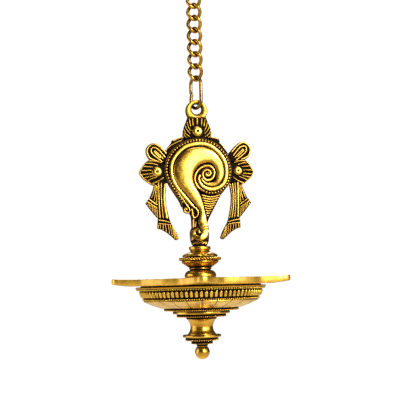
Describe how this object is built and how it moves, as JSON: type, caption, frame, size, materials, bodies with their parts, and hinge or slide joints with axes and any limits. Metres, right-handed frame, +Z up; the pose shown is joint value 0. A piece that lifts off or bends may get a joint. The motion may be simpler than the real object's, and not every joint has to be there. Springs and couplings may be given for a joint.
{
  "type": "hanging chain oil lamp",
  "caption": "Antique-finish brass oil lamp hanging on a curb chain: conch plaque with ribbons above a lipped oil dish, beaded bowl and ball finial.",
  "frame": {"origin": "inside top of the hook's open crook, where it bears on whatever holds the lamp up", "axes": "+Z up along the chain and the lamp's axis, conch plaque in the XZ plane facing -Y"},
  "size_m": [0.1381, 0.1373, 0.336],
  "materials": {
    "wire_brass": "polished wire, darkened where links meet",
    "cast_brass": "cast, blackened in the recesses, relieved bright on the high spots",
    "turned_brass": "lathe turned, blackened grooves, bright lands",
    "steel": "plain threaded rod",
    "fibre": "oiled fibre washer"
  },
  "bodies": {
    "hook": {"hanging_hook": "wire_brass"},
    "link_1": {"chain_link_1": "wire_brass"},
    "link_2": {"chain_link_2": "wire_brass"},
    "link_3": {"chain_link_3": "wire_brass"},
    "link_4": {"chain_link_4": "wire_brass"},
    "link_5": {"chain_link_5": "wire_brass"},
    "link_6": {"chain_link_6": "wire_brass"},
    "link_7": {"chain_link_7": "wire_brass"},
    "link_8": {"chain_link_8": "wire_brass"},
    "joining_link": {"joining_link": "wire_brass"},
    "lamp": {"conch_plaque": "cast_brass", "tie_stud": "steel", "upper_bell": "turned_brass", "rope_ring": "turned_brass", "lower_cup": "turned_brass", "knob": "turned_brass", "seal_washer": "fibre", "oil_dish": "cast_brass", "bowl": "cast_brass", "stepped_base": "turned_brass", "spool": "turned_brass", "foot_collar": "turned_brass", "ball_finial": "turned_brass"}
  },
  "joints": [
    {"name": "link_1_swing", "type": "hinge", "parent": "hook", "child": "link_1", "pos_m": [0, 0, -0.0276], "axis": [0.9336, 0.3584, 0], "range_deg": [-20, 20]},
    {"name": "link_2_swing", "type": "hinge", "parent": "link_1", "child": "link_2", "pos_m": [0, 0, -0.03455], "axis": [0.4226, -0.9063, 0], "range_deg": [-20, 20]},
    {"name": "link_3_swing", "type": "hinge", "parent": "link_2", "child": "link_3", "pos_m": [0, 0, -0.04745], "axis": [0.9063, 0.4226, 0], "range_deg": [-20, 20]},
    {"name": "link_4_swing", "type": "hinge", "parent": "link_3", "child": "link_4", "pos_m": [0, 0, -0.05465], "axis": [0.5446, -0.8387, 0], "range_deg": [-20, 20]},
    {"name": "link_5_swing", "type": "hinge", "parent": "link_4", "child": "link_5", "pos_m": [0, 0, -0.06755], "axis": [0.8387, 0.5446, 0], "range_deg": [-20, 20]},
    {"name": "link_6_swing", "type": "hinge", "parent": "link_5", "child": "link_6", "pos_m": [0, 0, -0.07475], "axis": [0.6561, -0.7547, 0], "range_deg": [-20, 20]},
    {"name": "link_7_swing", "type": "hinge", "parent": "link_6", "child": "link_7", "pos_m": [0, 0, -0.08765], "axis": [0.7547, 0.6561, 0], "range_deg": [-20, 20]},
    {"name": "link_8_swing", "type": "hinge", "parent": "link_7", "child": "link_8", "pos_m": [0, 0, -0.09485], "axis": [0.7071, -0.7071, 0], "range_deg": [-20, 20]},
    {"name": "joining_link_swing", "type": "hinge", "parent": "link_8", "child": "joining_link", "pos_m": [0, 0, -0.10775], "axis": [0.7071, 0.7071, 0], "range_deg": [-20, 20]},
    {"name": "lamp_swing", "type": "hinge", "parent": "joining_link", "child": "lamp", "pos_m": [0, 0, -0.1322], "axis": [0, 1, 0], "range_deg": [-30, 30]}
  ]
}
